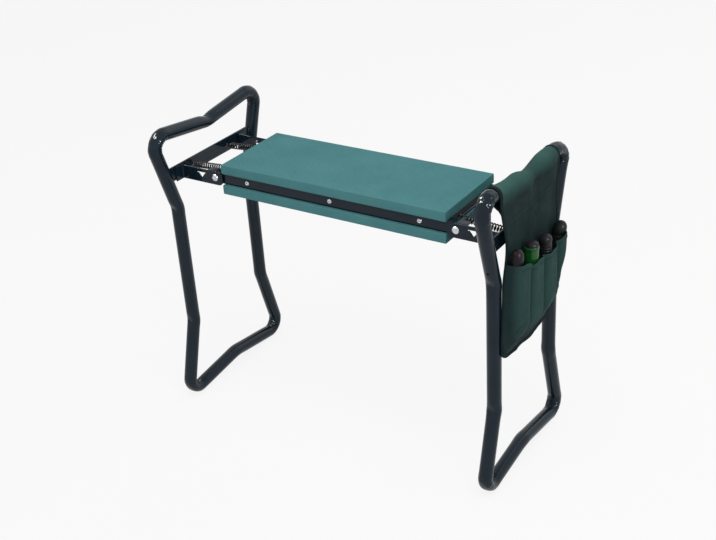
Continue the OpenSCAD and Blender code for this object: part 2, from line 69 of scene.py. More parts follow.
class Finish:
    """A material and its node tree, with short ways to add grain, tint and relief."""

    def __init__(self, name, roughness, metallic=0.0, specular=0.5):
        self.material = bpy.data.materials.new(name)
        self.material.use_nodes = True
        self.tree = self.material.node_tree
        self.shader = self.tree.nodes["Principled BSDF"]
        self.shader.inputs["Roughness"].default_value = roughness
        self.shader.inputs["Metallic"].default_value = metallic
        self.shader.inputs["Specular IOR Level"].default_value = specular
        self.place = self.add("ShaderNodeTexCoord").outputs["Object"]
        self.normal = None

    def add(self, kind, inputs=None, **settings):
        """A new node; each input is given a value or joined to another node's output."""
        node = self.tree.nodes.new(kind)
        for key, value in settings.items():
            setattr(node, key, value)
        for key, value in (inputs or {}).items():
            if isinstance(value, bpy.types.NodeSocket):
                self.tree.links.new(value, node.inputs[key])
            else:
                node.inputs[key].default_value = value
        return node

    def stretched(self, x, y, z):
        """The place on the piece, scaled along each axis: below 1 draws a grain out that way."""
        return self.add("ShaderNodeMapping", {"Vector": self.place, "Scale": (x, y, z)}).outputs[0]

    def grain(self, size_mm, detail=2.0, place=None):
        """Cloudy noise whose blotches are about size_mm across."""
        inputs = {"Vector": place or self.place, "Scale": 1000 / size_mm, "Detail": detail}
        return self.add("ShaderNodeTexNoise", inputs).outputs["Fac"]

    def sum(self, a, b, how="ADD"):
        return self.add("ShaderNodeMath", {0: a, 1: b}, operation=how).outputs[0]

    def ramp(self, value, *stops):
        """Colours or greys between stops of (value, colour)."""
        node = self.add("ShaderNodeValToRGB", {"Fac": value})
        ramp = node.color_ramp
        while len(ramp.elements) < len(stops):
            ramp.elements.new(0.5)
        for element, (at, colour) in zip(ramp.elements, stops):
            element.position = at
            element.color = (*colour, 1) if hasattr(colour, "__len__") else (colour, colour, colour, 1)
        return node.outputs[0]

    def tint(self, value, *stops):
        self.tree.links.new(self.ramp(value, *stops), self.shader.inputs["Base Color"])

    def mottle(self, value, dark, light):
        """A base colour that wanders between dark and light with a noise."""
        self.tint(value, (0.3, dark), (0.7, light))

    def dull(self, value, low, high):
        """Roughness that wanders between low and high with a noise."""
        self.tree.links.new(self.ramp(value, (0.3, low), (0.7, high)), self.shader.inputs["Roughness"])

    def relief(self, height, depth_mm, strength=1.0):
        inputs = {"Height": height, "Distance": depth_mm / 1000, "Strength": strength}
        if self.normal:
            inputs["Normal"] = self.normal
        self.normal = self.add("ShaderNodeBump", inputs).outputs[0]
        self.tree.links.new(self.normal, self.shader.inputs["Normal"])


sharp_edge = math.radians(50)


def dress(node, finish, rounded_mm):
    """Gives a solid of the frame its finish, and rounds its edges by a hair."""
    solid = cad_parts[node]
    if not solid.material_slots:
        solid.data.materials.append(finish.material)
    for slot in solid.material_slots:
        slot.material = finish.material
    weld = solid.modifiers.new("weld", "WELD")
    weld.merge_threshold = 1e-6
    bevel = solid.modifiers.new("rounded", "BEVEL")
    bevel.width = rounded_mm / 1000
    bevel.segments = 2
    bevel.limit_method = "ANGLE"
    bevel.angle_limit = sharp_edge
    bevel.harden_normals = True


board_plastic = Finish("board_plastic", 0.6)
mould_grain = board_plastic.grain(0.8)
board_plastic.mottle(board_plastic.grain(30), (0.010, 0.011, 0.013), (0.018, 0.020, 0.022))
board_plastic.dull(mould_grain, 0.5, 0.7)
board_plastic.relief(mould_grain, 0.1)
dress("seat_board", board_plastic, 0.4)

# Rails. Two channels of folded sheet steel, powder-coated gloss black with the slight
# orange peel of the powder; the rods for the springs are welded between them.
black_paint = Finish("black_paint", 0.1, specular=0.2)
paint_peel = black_paint.grain(2.4, 1.0)
paint_tone = black_paint.grain(45, 3.0)
black_paint.mottle(paint_tone, (0.005, 0.014, 0.023), (0.009, 0.021, 0.034))
black_paint.dull(black_paint.grain(14, 3.0), 0.06, 0.16)
black_paint.relief(paint_peel, 0.03, 0.35)
for node in ("front_rail", "rear_rail", "left_spring_rod", "right_spring_rod"):
    dress(node, black_paint, 0.35)

# Rail rivets. Blind rivets of zinc-plated steel hold the board in each rail: a low
# dome with the open end of its mandrel hole in the middle.


def make_piece(name, points, faces, finish, body, slot, smooth=True):
    """A mesh piece from points in millimetres, which rides on a body of the frame."""
    mesh = bpy.data.meshes.new(name)
    mesh.from_pydata([tuple(c / 1000 for c in p) for p in points], [], faces)
    mesh.validate()
    if smooth:
        mesh.shade_smooth()
    else:
        mesh.shade_flat()
    piece = bpy.data.objects.new(name, mesh)
    scene.collection.objects.link(piece)
    piece.data.materials.append(finish.material)
    if body:
        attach(piece, body)
    return piece


def grid_faces(rows, columns, close_rows=False, close_columns=False):
    """Quads between rows of points; a closed side joins its last row or column to its first."""
    faces = []
    for i in range(rows if close_rows else rows - 1):
        for j in range(columns if close_columns else columns - 1):
            a, b = i * columns, (i + 1) % rows * columns
            faces.append((a + j, a + (j + 1) % columns, b + (j + 1) % columns, b + j))
    return faces


def ring(sides):
    """The cosine and the sine of each point round a ring."""
    angles = [2 * math.pi * k / sides for k in range(sides)]
    return [(math.cos(a), math.sin(a)) for a in angles]


def end_faces(sides, count):
    """The two faces that close a stack of rings, at its first ring and at its last."""
    return [tuple(reversed(range(sides))), tuple(range(count - sides, count))]


def lathe(profile, at, axis, sides=32):
    """Points and faces of a turned shape: (radius, height) pairs from one end to the other."""
    up = Vector(axis).normalized()
    side = up.orthogonal().normalized()
    other = up.cross(side)
    points = []
    for radius, height in profile:
        points += [Vector(at) + up * height + radius * (c * side + s * other) for c, s in ring(sides)]
    faces = grid_faces(len(profile), sides, close_columns=True) + end_faces(sides, len(points))
    return points, faces


def joined(*shapes):
    """Several (points, faces) shapes as one."""
    points, faces = [], []
    for more_points, more_faces in shapes:
        start = len(points)
        points.extend(more_points)
        faces.extend(tuple(start + k for k in face) for face in more_faces)
    return points, faces


zinc = Finish("zinc", 0.35, metallic=1.0)
zinc.mottle(zinc.grain(1.5, 3.0), (0.46, 0.46, 0.50), (0.68, 0.68, 0.73))
zinc.dull(zinc.grain(2.5), 0.24, 0.46)
zinc.relief(zinc.grain(0.5), 0.03)
hinge_x, hinge_z = 211.0, 399.0
rail_y, rail_wall = 68.5, 1.8
rivet_pitch = 151.5
blind_head = [(2.0, -10.0), (2.0, -0.1), (3.9, -0.05), (3.9, 0.35), (3.7, 0.8), (3.1, 1.4), (2.3, 1.85),
              (1.6, 2.0), (1.25, 1.9), (1.1, 1.5), (1.0, 0.5), (0.7, 0.45), (0.2, 0.6)]


def at_rail_holes(profile, sides=32):
    """A profile turned at each of the six holes along the rails, looking outward."""
    turned = []
    for step in (-1, 0, 1):
        for front in (-1, 1):
            hole = (step * rivet_pitch, front * rail_y, hinge_z)
            turned.append(lathe(profile, hole, (0, front, 0), sides))
    return joined(*turned)


rail_rivets = make_piece("blind_rivets", *at_rail_holes(blind_head), zinc, "seat", "rivets")
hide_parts("rail_rivets")

# Rivet mandrels. The steel pin that pulled each blind rivet tight has broken off in its
# middle, and stays there, dark and rough.
mandrel_steel = Finish("mandrel_steel", 0.55, metallic=0.8)
mandrel_steel.mottle(mandrel_steel.grain(0.8, 3.0), (0.012, 0.012, 0.014), (0.05, 0.05, 0.055))
mandrel_steel.relief(mandrel_steel.grain(0.6, 3.0), 0.08)
mandrel = [(1.0, 0.3), (1.05, 1.2), (1.0, 1.45), (0.7, 1.55), (0.35, 1.35), (0.1, 1.3)]
make_piece("rivet_mandrels", *at_rail_holes(mandrel, 16), mandrel_steel, "seat", "rivets")

# Foam pads. Two equal slabs are die-cut from teal EVA foam sheet, whose faces are
# embossed with small diamonds. One is glued above the rails to sit on, one below to kneel on.
pad_l, pad_w, pad_t = 392.0, 147.0, 15.5
seat_top, rail_h = 424.0, 19.0
cell, emboss_mm, edge_round = 3.2, 0.8, 0.7
cut_swell, cut_waver = 0.25, 0.18
back_edge_h, back_edge_in = 1.2, 0.5
edge_steps, cut_steps = 3, 6

foam = Finish("foam", 0.85, specular=0.1)
foam_pores = foam.grain(0.9, 3.0)
foam_blotch = foam.grain(55, 3.0)
foam.mottle(foam.sum(foam.sum(foam_pores, 0.35, "MULTIPLY"), foam.sum(foam_blotch, 0.65, "MULTIPLY")),
            (0.073, 0.228, 0.243), (0.095, 0.279, 0.297))
foam.dull(foam_pores, 0.7, 0.95)
foam.relief(foam_pores, 0.12, 0.7)


def foam_pad(name, cad_node, middle_z, face_up):
    """A slab with an embossed face; face_up is 1 if it looks up, and -1 if down."""
    flat_l, flat_w = pad_l - 2 * edge_round, pad_w - 2 * edge_round
    columns, rows = 2 * round(flat_l / cell / 2), 2 * round(flat_w / cell / 2)
    face_z, rim_h = pad_t / 2, emboss_mm + edge_round
    points, faces = [], []
    for i in range(rows + 1):
        for j in range(columns + 1):
            on_rim = i in (0, rows) or j in (0, columns)
            raised = (i + j) % 2 == 1 and not on_rim
            points.append((flat_l * (j / columns - 0.5), flat_w * (i / rows - 0.5),
                           face_z - (0 if raised else emboss_mm)))
    for i in range(rows):
        for j in range(columns):
            a = i * (columns + 1) + j
            b, c, d = a + 1, a + columns + 2, a + columns + 1
            faces += [(a, b, c), (a, c, d)] if (i + j) % 2 == 0 else [(a, b, d), (b, c, d)]
    rim = list(range(columns))
    rim += [i * (columns + 1) + columns for i in range(rows)]
    rim += [rows * (columns + 1) + j for j in range(columns, 0, -1)]
    rim += [i * (columns + 1) for i in range(rows, 0, -1)]
    levels = []
    for k in range(1, edge_steps + 1):
        a = math.pi / 2 * k / edge_steps
        levels.append((edge_round * math.sin(a), face_z - emboss_mm - edge_round * (1 - math.cos(a))))
    for k in range(1, cut_steps):
        swell = cut_swell * math.sin(math.pi * k / cut_steps)
        levels.append((edge_round + swell, face_z - rim_h - (pad_t - 2 * rim_h) * k / cut_steps))
    levels += [(edge_round, back_edge_h - face_z), (edge_round - back_edge_in, -face_z)]
    last = rim
    for out, z in levels:
        level = []
        for index in rim:
            x, y, _ = points[index]
            way = Vector((0, 0))
            if abs(x) > flat_l / 2 - 0.01:
                way.x = math.copysign(1, x)
            if abs(y) > flat_w / 2 - 0.01:
                way.y = math.copysign(1, y)
            waver = cut_waver * noise.noise(Vector((x, y, z)) * 0.05)
            way = way.normalized() * (out + waver)
            level.append(len(points))
            points.append((x + way.x, y + way.y, z))
        for k in range(len(rim)):
            after = (k + 1) % len(rim)
            faces.append((last[k], level[k], level[after], last[after]))
        last = level
    faces.append(tuple(reversed(last)))
    points = [(x, y * face_up, middle_z + z * face_up) for x, y, z in points]
    pad = make_piece(name, points, faces, foam, "seat", "foam", smooth=False)
    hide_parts(cad_node)


foam_pad("sitting_pad", "top_pad", seat_top - pad_t / 2, 1)
foam_pad("kneeling_pad", "bottom_pad", seat_top - pad_t * 1.5 - rail_h, -1)

# Leg loops. Each is one length of 21 mm steel tube, bent round to a closed loop in a press
# bender, which crushes the inside of every bend and leaves small wrinkles on the tight ones.
# The powder coat makes the tube a little thicker.
tube_r = 10.7
loop_x = 279.0
foot_w, leg_w, hand_w = 258.0, 185.0, 266.0
flare_h, waist_h, hand_h = 136.0, 343.5, 474.5
# The foot bar's corners are drawn at foot_z, so that the bends inside them stand on the floor
foot_z, foot_arch, handle_dip = 6.741, 16.5, 17.5
arch_r, foot_r, leg_r, hand_r, dip_r = 80.0, 21.0, 45.0, 21.0, 60.0
half_line = [(0, foot_z + foot_arch), (-foot_w / 2, foot_z), (-leg_w / 2, flare_h), (-leg_w / 2, waist_h),
             (-hand_w / 2, hand_h), (0, hand_h - handle_dip)]
loop_line = [Vector(p) for p in half_line + [(-y, z) for y, z in half_line[4:0:-1]]]
loop_bends = [arch_r, foot_r, leg_r, leg_r, hand_r, dip_r, hand_r, leg_r, leg_r, foot_r]
# How deep each bend is crushed on its inside, how wide round the tube in degrees, how much
# the crushed part ripples, how deep the wrinkles all round it are, and how flat its outside is
arch_crush = (0.8, 50, 0.0, 0.05, 0.0)
foot_crush = (2.4, 45, 0.7, 1.2, 1.8)
leg_crush = (3.0, 40, 0.3, 0.12, 0.0)
hand_crush = (0.7, 55, 0.9, 1.7, 0.0)
dip_crush = (3.4, 60, 0.3, 0.5, 0.0)
loop_crush = [arch_crush, foot_crush, leg_crush, leg_crush, hand_crush,
              dip_crush, hand_crush, leg_crush, leg_crush, foot_crush]
ripple_pitch = 6.2
# A dent covers this share of its bend and runs out past it, and the tube's sides bulge there
dent_share, dent_past, dent_end = 0.85, 4.0, 15.0
side_bulge, side_wide = 0.8, 45.0
ring_points, bend_step = 52, 1.3
close_step, open_step, hardly_dented = 1.6, 5.0, 0.002


def soft_step(t):
    """0 up to 0, 1 from 1 on, and a smooth rise between them."""
    t = max(0.0, min(1.0, t))
    return t * t * (3 - 2 * t)


def hump(t):
    """1 at 0, and falling smoothly to nothing on both sides."""
    return math.exp(-t * t)


def run_marks(length):
    """Distances along a straight run: close together near its ends, where the dents run out."""
    marks, at = [], close_step
    while at < length - close_step / 2:
        marks.append(at)
        at += close_step if min(at, length - at) < dent_end else open_step
    return marks


def loop_stations():
    """Points along the loop's centre line, with direction and distance, and the bends on it."""
    stations, bends, run = [], [], 0.0
    count = len(loop_line)
    ways = [(loop_line[(i + 1) % count] - loop_line[i]).normalized() for i in range(count)]
    # How far the tube turns at each corner, and how much of the straight runs the bend takes
    cuts = []
    for i in range(count):
        a, b = ways[i - 1], ways[i]
        turned = math.atan2(a.x * b.y - a.y * b.x, a.dot(b))
        cuts.append((turned, loop_bends[i] * math.tan(abs(turned) / 2)))
    for i in range(count):
        turned, cut = cuts[i]
        radius, side = loop_bends[i], 1 if turned > 0 else -1
        start = loop_line[i] - ways[i - 1] * cut
        left = Vector((-ways[i - 1].y, ways[i - 1].x))
        centre = start + side * radius * left
        steps = max(10, round(abs(turned) * (radius + tube_r) / bend_step))
        length = radius * abs(turned)
        for k in range(steps + 1):
            a = turned * k / steps
            way = Vector((ways[i - 1].x * math.cos(a) - ways[i - 1].y * math.sin(a),
                          ways[i - 1].x * math.sin(a) + ways[i - 1].y * math.cos(a)))
            point = centre - side * radius * Vector((-way.y, way.x))
            stations.append((point, way, run + length * k / steps))
        bends.append((run + length / 2, length / 2, side, *loop_crush[i]))
        run += length
        finish = loop_line[i] + ways[i] * cut
        straight = (loop_line[(i + 1) % count] - finish).length - cuts[(i + 1) % count][1]
        stations += [(finish + ways[i] * mark, ways[i], run + mark) for mark in run_marks(straight)]
        run += straight
    return stations, bends, run


def wrinkles(run, around):
    """The skin of a tight bend: rounded swellings with sharp creases between them."""
    spot = Vector((run * 0.15, 2.0 * math.cos(around), 2.0 * math.sin(around)))
    return 0.6 * noise.noise(spot) - 0.8 * abs(noise.noise(spot * 1.7)) + 0.12


def tube_radius(run, around, bends, whole, wrinkled):
    """The tube's radius at a distance along it and an angle round it, crushed inside each bend."""
    radius = tube_r
    for at, half, side, depth, width, ripple, wrinkle, flat in bends:
        away = abs(run - at)
        away = min(away, whole - away)
        near = hump(away / (half * dent_share + dent_past))
        if near < hardly_dented:
            continue
        inside = 0 if side > 0 else math.pi
        off = math.degrees(abs(math.remainder(around - inside, 2 * math.pi)))
        waves = math.cos(2 * math.pi * (run - at) / ripple_pitch)
        radius -= near * hump(off / width) * (depth + ripple * waves)
        radius -= near * flat * hump((off - 180) / side_wide)
        radius += near * side_bulge * hump((off - 90) / side_wide)
        radius += near * wrinkle * wrinkled * wrinkles(run, around)
    return radius


askew_front, askew_rear = 0.045, 0.06
askew_from, askew_over = 412.0, 60.0


def askew(y, z):
    """The handle under the pouch sits a little askew: its front corner is the higher one."""
    slope = askew_front if y < 0 else askew_rear
    return -slope * y * soft_step((z - askew_from) / askew_over)


def leg_loop(name, cad_node, end, wrinkled):
    """One bent tube; end is 1 at the pouch and -1 at the other end of the seat."""
    stations, bends, whole = loop_stations()
    points = []
    for centre, way, run in stations:
        left = Vector((-way.y, way.x))
        for k in range(ring_points):
            around = 2 * math.pi * k / ring_points
            radius = tube_radius(run, around, bends, whole, wrinkled)
            flat = centre + left * (radius * math.cos(around))
            lift = askew(flat.x, flat.y) if end > 0 else 0
            points.append((end * loop_x + radius * math.sin(around), flat.x, flat.y + lift))
    faces = grid_faces(len(stations), ring_points, close_rows=True, close_columns=True)
    tube = make_piece(name, points, faces, black_paint, cad_node.replace("loop", "frame"), "black_steel")
    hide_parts(cad_node)
    return tube


leg_loop("left_tube", "left_loop", -1, wrinkled=0.5)
right_tube = leg_loop("right_tube", "right_loop", 1, wrinkled=1.0)

# Vent hole. The tube has one small drilled hole, through which air and washing fluid
# leave it before it is painted. It is in the front of the right loop's front leg.
vent_r, vent_z, vent_deep, vent_proud = 1.9, 365.0, 3.0, 2.0
upper_slope = (hand_w - leg_w) / 2 / (hand_h - waist_h)
vent_y = -leg_w / 2 - (vent_z - waist_h) * upper_slope - tube_r
bore = lathe([(vent_r, -vent_deep), (vent_r, vent_proud)], (loop_x, vent_y, vent_z), (0, -1, 0), 24)
drill = make_piece("drill", *bore, black_paint, "right_frame", "black_steel", smooth=False)
cut = right_tube.modifiers.new("vent", "BOOLEAN")
cut.operation = "DIFFERENCE"
cut.solver = "EXACT"
cut.object = drill
drilled = bpy.data.meshes.new_from_object(right_tube.evaluated_get(bpy.context.evaluated_depsgraph_get()))
drilled.set_sharp_from_angle(angle=sharp_edge)
right_tube.modifiers.remove(cut)
right_tube.data = drilled
bpy.data.objects.remove(drill)

# Crossbars and hinge arms. A flat bar is welded across each loop, and two arms folded
# from sheet are welded to it. Each arm has a window, and turns on its pivot rivet.
for end in ("left", "right"):
    for part in ("crossbar", "front_arm", "rear_arm"):
        dress(f"{end}_{part}", black_paint, 0.3)

# Welds. Short beads of weld run where the crossbars meet the tubes and along the edges
# of the arms' feet, under the same paint.


def sweep(path, radii, sides=10):
    """A round bar along a path, with a radius for each point."""
    points, count = [], len(path)
    side = None
    for i, at in enumerate(path):
        before, after = path[max(0, i - 1)], path[min(count - 1, i + 1)]
        way = (Vector(after) - Vector(before)).normalized()
        side = way.orthogonal() if side is None else side - way * side.dot(way)
        side = side.normalized()
        other = way.cross(side)
        points += [Vector(at) + radii[i] * (c * side + s * other) for c, s in ring(sides)]
    faces = grid_faces(count, sides, close_columns=True) + end_faces(sides, len(points))
    return points, faces


bar_weld_w, foot_weld_w, weld_set = 2.4, 2.0, 0.3
lump_share, lump_pitch, weld_stray, bead_step = 0.16, 2.6, 0.35, 0.8


def weld_bead(start, finish, width):
    """A lumpy bead from start to finish, thin at both ends."""
    start, finish = Vector(start), Vector(finish)
    length = (finish - start).length
    steps = max(8, round(length / bead_step))
    path, radii = [], []
    for k in range(steps + 1):
        t = k / steps
        at = start.lerp(finish, t)
        lump = lump_share * math.sin(2 * math.pi * length * t / lump_pitch)
        stray = Vector([noise.noise(at * 0.4 + Vector((9 * axis, 0, 0))) for axis in range(3)])
        path.append(at + weld_stray * stray)
        radii.append(width / 2 * (min(1, 0.35 + 5 * t, 0.35 + 5 * (1 - t)) + lump))
    return sweep(path, radii)


arm_out, arm_bend_r, arm_foot = 72.4, 2.0, 14.0
bar_face, bar_t = 66.5, 3.0
bar_middle = bar_face + bar_t / 2
bar_low, bar_high = hinge_z - 10, hinge_z + 13
foot_top = hinge_z + 10.2
for end, side in (("left", -1), ("right", 1)):
    beads = []
    for front in (-1, 1):
        for face in (bar_face - weld_set, bar_face + bar_t + weld_set):
            ends = []
            for z in (bar_low + 1, bar_high - 1):
                tube_y = leg_w / 2 + (z - waist_h) * upper_slope
                reach = math.sqrt(tube_r ** 2 - (face - bar_middle) ** 2) * math.sqrt(1 + upper_slope ** 2)
                ends.append((side * (hinge_x + face), front * (tube_y - reach - weld_set), z))
            beads.append(weld_bead(*ends, bar_weld_w))
        foot_x = side * (hinge_x + bar_face - 0.4)
        heel, toe = arm_out + arm_bend_r + 1, arm_out + arm_bend_r + arm_foot - 1
        ends = [(foot_x, front * y, foot_top) for y in (heel, toe)]
        beads.append(weld_bead(*ends, foot_weld_w))
    make_piece(f"{end}_welds", *joined(*beads), black_paint, f"{end}_frame", "black_steel")

# Pivot rivets and washers. Large zinc-plated rivets join the arms to the rails: a flat
# dome with a shallow dimple outside, and a flat head upset inside the rail.
pivot_shape = [(4.3, -1.6), (4.3, -0.2), (3.0, 0.0), (3.0, 5.6), (5.8, 5.65), (5.8, 6.0), (5.55, 6.7),
               (4.9, 7.45), (4.0, 7.95), (3.0, 8.2), (2.4, 8.2), (2.0, 7.95), (1.4, 7.7), (0.5, 7.65)]
pivot_base = rail_y - rail_wall - 0.1
for end, side in (("left", -1), ("right", 1)):
    heads = []
    for front in (-1, 1):
        heads.append(lathe(pivot_shape, (side * hinge_x, front * pivot_base, hinge_z), (0, front, 0), 40))
    rivet = make_piece(f"{end}_pivots", *joined(*heads), zinc, f"{end}_frame", "rivets")
    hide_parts(f"{end}_pivot_rivets")
    dress(f"{end}_pivot_washers", zinc, 0.2)

# Springs. Two blackened steel springs at each end run from a hook round the rod in the
# seat, through a close coil, to a tail that passes through the crossbar and turns up.
spring_d, wire_d, spring_turns = 11.0, 2.3, 14
spring_y = 43.0
rod_in, rod_up, rod_r = 8.0, 5.0, 2.5
rod_to_bar = math.hypot(bar_middle + rod_in, rod_up)
# The hook's first angle and its steps in degrees, and the points of each turn
hook_from, hook_step, turn_points = 250, 12, 24
hook_neck, tail_neck = 3.5, 6.0
spring_wire = Finish("spring_wire", 0.3, metallic=0.6)
spring_wire.tint(spring_wire.grain(6, 3.0), (0.35, (0.016, 0.017, 0.020)), (0.7, (0.045, 0.043, 0.045)))
spring_wire.dull(spring_wire.grain(3), 0.22, 0.42)
spring_wire.relief(spring_wire.grain(0.7), 0.03)


def spring_path():
    """The wire's centre line, in the spring's own frame: +X is the way it pulls."""
    hook_r = rod_r + wire_d / 2 + 0.2
    coil_r = (spring_d - wire_d) / 2
    coil_from, coil_to = hook_r + hook_neck, rod_to_bar - bar_t / 2 - tail_neck
    path = []
    for degrees in range(hook_from, 89, -hook_step):
        a = math.radians(degrees)
        path.append((hook_r * math.cos(a), 0, hook_r * math.sin(a)))
    count, half_turn = spring_turns * turn_points, turn_points / 2
    for i in range(3, count - 2):
        radius = hook_r + (coil_r - hook_r) * soft_step(min(i, count - i) / half_turn)
        a = math.radians(90 + i * 360 / turn_points)
        x = coil_from + (coil_to - coil_from) * i / count
        path.append((x, radius * math.cos(a), radius * math.sin(a)))
    path += [(coil_to + x, 0, z) for x, z in ((2.2, 1.8), (3.2, 0.7), (4.4, 0.1))]
    bar_back = rod_to_bar + bar_t / 2
    path += [(bar_back + x, 0, z) for x, z in ((0.6, 0), (1.8, 0.5), (2.4, 1.6), (2.6, 5))]
    return path


spring_tilt = math.atan2(-rod_up, bar_middle + rod_in)
for end, side in (("left", -1), ("right", 1)):
    for place, front in (("front", -1), ("rear", 1)):
        route = []
        for x, y, z in spring_path():
            along = x * math.cos(spring_tilt) - z * math.sin(spring_tilt)
            up = x * math.sin(spring_tilt) + z * math.cos(spring_tilt)
            route.append((side * (hinge_x - rod_in + along), front * (spring_y + y), hinge_z + rod_up + up))
        wound = sweep(route, [wire_d / 2] * len(route))
        coil = make_piece(f"{end}_{place}_coil", *wound, spring_wire, None, "springs")
        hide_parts(f"{end}_{place}_spring")
        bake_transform(coil)

# Tool pouch, back panel. Dark green coated polyester is folded over the handle, closed
# under it with hook-and-loop tape, and hangs down outside the loop.
pouch_w, pouch_low, pouch_set, cloth_t = 186.0, 220.0, 3.5, 1.3
wrap_r, wrap_from, wrap_turn = 11.8, 75.0, 285.0
flap_in, flap_low, flap_bend, flap_share = 7.4, 418.0, 22.0, 0.9
# The shares of the panel's rows at which the flap ends and the wrap round the handle ends
flap_end, wrap_end = 0.08, 0.26
# How much the cloth draws in under the handle, behind and in front, what of it stays further
# down, and how much it spreads at the hem
drawn_rear, drawn_front, drawn_low, spread = 0.05, 0.10, 0.04, 0.03
rear_lift, front_lift, sag_low, sag_up = 30.0, 13.0, 3.5, 2.0
# Where along the handle the cloth is loose or pinched, how wide, and how far it stands off
loose_places = [(-22, 24, 4.6), (52, 26, 4.2), (14, 12, -2.0)]
tightest = -0.9
crease_y, crease_z, crease_l, crease_w, crease_deep = 4.0, 452.0, 15.0, 3.2, 1.8

cloth = Finish("cloth", 0.8, specular=0.05)
cloth_run = cloth.add("ShaderNodeSeparateXYZ", {"Vector": cloth.place})
thread_pitch = 0.0011
threads = 2 * math.pi / thread_pitch
warp = cloth.sum(cloth.sum(cloth_run.outputs["Y"], threads, "MULTIPLY"), 0.0, "SINE")
down_run = cloth.sum(cloth_run.outputs["Z"], cloth_run.outputs["X"], "SUBTRACT")
weft = cloth.sum(cloth.sum(down_run, threads, "MULTIPLY"), 0.0, "SINE")
weave = cloth.sum(warp, weft, "MULTIPLY")
cloth_fade = cloth.grain(38, 4.0, cloth.stretched(1, 1, 0.45))
# Painted light: the cloth over the handle, which faces up, is painted lighter, and so a little are the
# pockets, which stand out from the panel
painted_light_over_handle = cloth.ramp(cloth.sum(cloth_run.outputs["Z"], 2.0, "MULTIPLY"), (0.91, 0.0), (0.965, 0.7))
painted_light_on_pockets = cloth.ramp(cloth.sum(cloth_run.outputs["X"], 2.0, "MULTIPLY"), (0.605, 0.0), (0.63, 0.30))
fade_and_painted_light = cloth.sum(cloth.sum(painted_light_over_handle, painted_light_on_pockets), cloth.sum(cloth_fade, 0.3, "MULTIPLY"))
# Random fading, plus painted light: the middle stop is reached by both, and the lightest stop is the
# painted light on the top of the fold
dark_cloth, faded_and_lit_cloth = (0.0125, 0.026, 0.027), (0.019, 0.039, 0.0405)
cloth.tint(fade_and_painted_light, (0.09, dark_cloth), (0.21, faded_and_lit_cloth), (0.85, (0.0495, 0.1325, 0.115)))
cloth.dull(cloth.grain(20), 0.62, 0.85)
cloth.relief(weave, 0.12, 0.5)
cloth.relief(cloth.grain(9, 4.0), 0.5, 0.35)

handle_lean = math.atan(handle_dip / (hand_w / 2))


def handle_z(y):
    """Height of the handle's centre line at a distance y from its middle."""
    if abs(y) < dip_r * math.sin(handle_lean):
        return hand_h - handle_dip + dip_r / math.cos(handle_lean) - math.sqrt(dip_r ** 2 - y * y)
    return hand_h - handle_dip + abs(y) * math.tan(handle_lean)


def top_z(y):
    """Height of the handle under the cloth, where y is measured from the pouch's middle."""
    y -= pouch_set
    return handle_z(y) + askew(y, handle_z(y))


def hung_y(y, z):
    """Where a point of the cloth hangs: drawn in under the handle and spread at the hem."""
    drop = top_z(y) - z
    front_half = soft_step((10 - y) / 80)
    waist = soft_step(drop / 30) * hump((drop - 55 - 20 * front_half) / 40)
    drawn_in = (drawn_rear + drawn_front * front_half) * waist
    drawn_in += drawn_low * front_half * soft_step((drop - 60) / 50)
    return y * (1 - drawn_in + spread * soft_step((drop - 140) / 90)) - pouch_set


def hem_z(y):
    """The rear bottom corner is drawn up, the front one is rounded, and the middle sags."""
    at = y / (pouch_w / 2)
    corners = rear_lift * (max(0, at - 0.45) / 0.55) ** 1.5
    corners += front_lift * (max(0, -at - 0.78) / 0.22) ** 2
    return pouch_low + corners + sag_up * hump((at + 0.6) / 0.22) - sag_low * hump((at + 0.1) / 0.35)


def hanging_folds(y, z, crumpled=1.0):
    """How far the hanging cloth stands out: long soft folds that fade in below the handle."""
    drop = top_z(y) - z
    long_fold = 1.1 + 0.9 * math.cos(math.radians(7 * y)) + 0.5 * math.sin(math.radians(8 * y + z))
    crumple = 1.1 * noise.noise(Vector((y * 0.045, z * 0.012, 2.0)))
    crumple += 0.5 * noise.noise(Vector((y * 0.12, z * 0.03, 7.0)))
    return soft_step(drop / 160) * (long_fold + crumpled * crumple) + loose_top(y) * hump(drop / 24)


def loose_top(y):
    """How far the cloth stands off the top of the handle: loose over its front half, then pinched."""
    at = y - pouch_set
    loose = sum(off * hump((at - place) / wide) for place, wide, off in loose_places)
    return max(tightest, loose + 0.5 * noise.noise(Vector((y * 0.06, 5.0, 0))))


def crease(y, z):
    """A short sharp crease that runs down and forward from the pinched place."""
    beside, above = y - pouch_set - crease_y, z - crease_z
    along, across = beside * 0.8 + above * 0.6, above * 0.8 - beside * 0.6
    return crease_deep * hump(along / crease_l) * hump(across / crease_w)


def panel_point(v, y):
    """The panel's middle surface: v runs from 0 at the flap's edge, round the handle, to 1 at the hem."""
    top = top_z(y)
    y *= flap_share + (1 - flap_share) * soft_step((v - 0.045) / 0.05)
    bend_z = top - flap_bend
    if v < flap_end:
        x, z = flap_in, flap_low + (bend_z - flap_low) * v / flap_end
    elif v < wrap_end:
        turned = wrap_from + wrap_turn * (v - flap_end) / (wrap_end - flap_end)
        ease = soft_step((v - flap_end) / 0.02)
        round_r = wrap_r + loose_top(y) * soft_step((turned - 200) / 60)
        x, z = round_r * math.cos(math.radians(turned)), top - round_r * math.sin(math.radians(turned))
        x, z = flap_in + (x - flap_in) * ease, bend_z + (z - bend_z) * ease
    else:
        z = top + (hem_z(y) - top) * (v - wrap_end) / (1 - wrap_end)
        x = wrap_r + hanging_folds(y, z) - crease(y, z)
    return Vector((loop_x + x, hung_y(y, z), z))


def across_panel(v, u):
    """The same surface, with u from 0 at its front side to 1 at its rear side."""
    return panel_point(v, pouch_w * (u - 0.5))


